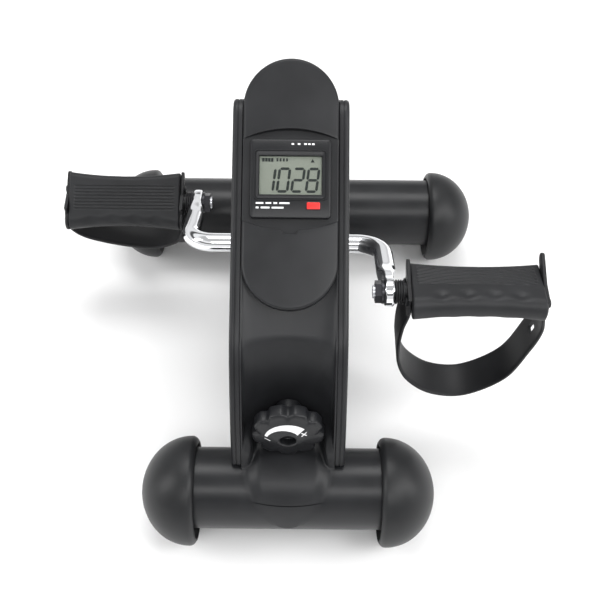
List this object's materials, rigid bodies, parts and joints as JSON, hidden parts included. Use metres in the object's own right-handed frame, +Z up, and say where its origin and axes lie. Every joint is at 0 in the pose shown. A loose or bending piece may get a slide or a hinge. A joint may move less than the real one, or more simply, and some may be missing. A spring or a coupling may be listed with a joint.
{
  "type": "pedal exerciser",
  "caption": "Floor-standing pedal exerciser: two cross tubes with domed foot caps, slim housing with display, bent crank with strapped pedals and a tension knob.",
  "frame": {"origin": "on the floor, under the middle of the crank (centre of the bounding box's base)", "axes": "+X towards the user's right pedal, -Y towards the user, +Z up"},
  "size_m": [0.3876, 0.384, 0.2899],
  "materials": {
    "black_steel": "satin black powder coat",
    "black_plastic": "satin moulded ABS",
    "bezel_plastic": "semi gloss moulded ABS",
    "foot_plastic": "satin moulded polypropylene",
    "pedal_rubber": "matte moulded pedal plastic",
    "strap_rubber": "matte rubber",
    "chrome": "polished chrome plate",
    "zinc_steel": "zinc plated",
    "dark_steel": "blackened",
    "frame_steel": "satin black paint",
    "cast_wheel": "machined and painted",
    "nylon": "natural nylon",
    "felt": "pressed felt",
    "brass": "plain",
    "white_print": "printed white ink",
    "glass": "clear window",
    "lcd_back": "reflective grey green",
    "lcd_ink": "dark liquid crystal",
    "board_green": "solder mask",
    "red_button": "satin red"
  },
  "bodies": {
    "frame": {"front_base_tube": "black_steel", "rear_base_tube": "black_steel", "front_left_foot_cap": "foot_plastic", "front_right_foot_cap": "foot_plastic", "rear_left_foot_cap": "foot_plastic", "rear_right_foot_cap": "foot_plastic", "foot_cap_screws": "zinc_steel", "main_frame": "frame_steel", "saddle_bolts": "zinc_steel", "left_bearing_plate": "frame_steel", "right_bearing_plate": "frame_steel", "left_crank_bearing": "nylon", "right_crank_bearing": "nylon", "left_side_panel": "black_plastic", "right_side_panel": "black_plastic", "panel_screws": "dark_steel", "console_cover": "black_plastic", "front_cover": "black_plastic", "nose_tip": "black_plastic", "rear_cover": "black_plastic", "bottom_cover": "black_plastic", "tension_bracket": "zinc_steel", "brake_shoe": "black_plastic", "brake_pad": "felt", "speed_sensor": "bezel_plastic"},
    "crank": {"crank_bar": "chrome", "friction_wheel": "cast_wheel", "wheel_magnet": "zinc_steel", "crank_spacers": "zinc_steel", "left_spindle": "zinc_steel", "right_spindle": "zinc_steel", "spindle_nuts": "dark_steel"},
    "left_pedal": {"left_pedal_block": "pedal_rubber", "left_pedal_bush": "strap_rubber", "left_foot_strap": "strap_rubber"},
    "right_pedal": {"right_pedal_block": "pedal_rubber", "right_pedal_bush": "strap_rubber", "right_foot_strap": "strap_rubber"},
    "knob": {"tension_knob": "bezel_plastic", "knob_marks": "white_print", "tension_screw": "dark_steel", "screw_retainer": "zinc_steel"},
    "tension_slider": {"tension_nut": "brass", "tension_spring": "zinc_steel"},
    "display": {"display_bezel": "bezel_plastic", "display_glass": "glass", "display_cell": "lcd_back", "display_digits": "lcd_ink", "display_board": "board_green", "display_battery": "zinc_steel", "display_back": "black_plastic"},
    "mode_key": {"mode_button": "red_button"}
  },
  "joints": [
    {"name": "crank_spin", "type": "hinge", "parent": "frame", "child": "crank", "pos_m": [0, 0.0167, 0.145], "axis": [1, 0, 0], "continuous": true},
    {"name": "left_pedal_spin", "type": "hinge", "parent": "crank", "child": "left_pedal", "pos_m": [-0.1, 0.0927, 0.1142], "axis": [1, 0, 0], "continuous": true},
    {"name": "right_pedal_spin", "type": "hinge", "parent": "crank", "child": "right_pedal", "pos_m": [0.1, -0.0593, 0.1758], "axis": [1, 0, 0], "continuous": true},
    {"name": "knob_turn", "type": "hinge", "parent": "frame", "child": "knob", "pos_m": [0.0046, -0.14, 0.112], "axis": [0, 1, 0], "range_deg": [-1440, 1440]},
    {"name": "nut_slide", "type": "slide", "parent": "frame", "child": "tension_slider", "axis": [0, 1, 0], "range_m": [-0.0051, 0.0051], "deforming": ["tension_spring"]},
    {"name": "display_lift", "type": "slide", "parent": "frame", "child": "display", "axis": [0, -0.5432, 0.8396], "range_m": [0, 0.03]},
    {"name": "mode_press", "type": "slide", "parent": "display", "child": "mode_key", "axis": [0, 0.5432, -0.8396], "range_m": [0, 0.0008], "stiffness_N_per_m": 400, "springref_m": -0.001}
  ],
  "couplings": [
    {"joint": "nut_slide", "follows": "knob_turn", "m_per_rad": 0.00019894}
  ]
}
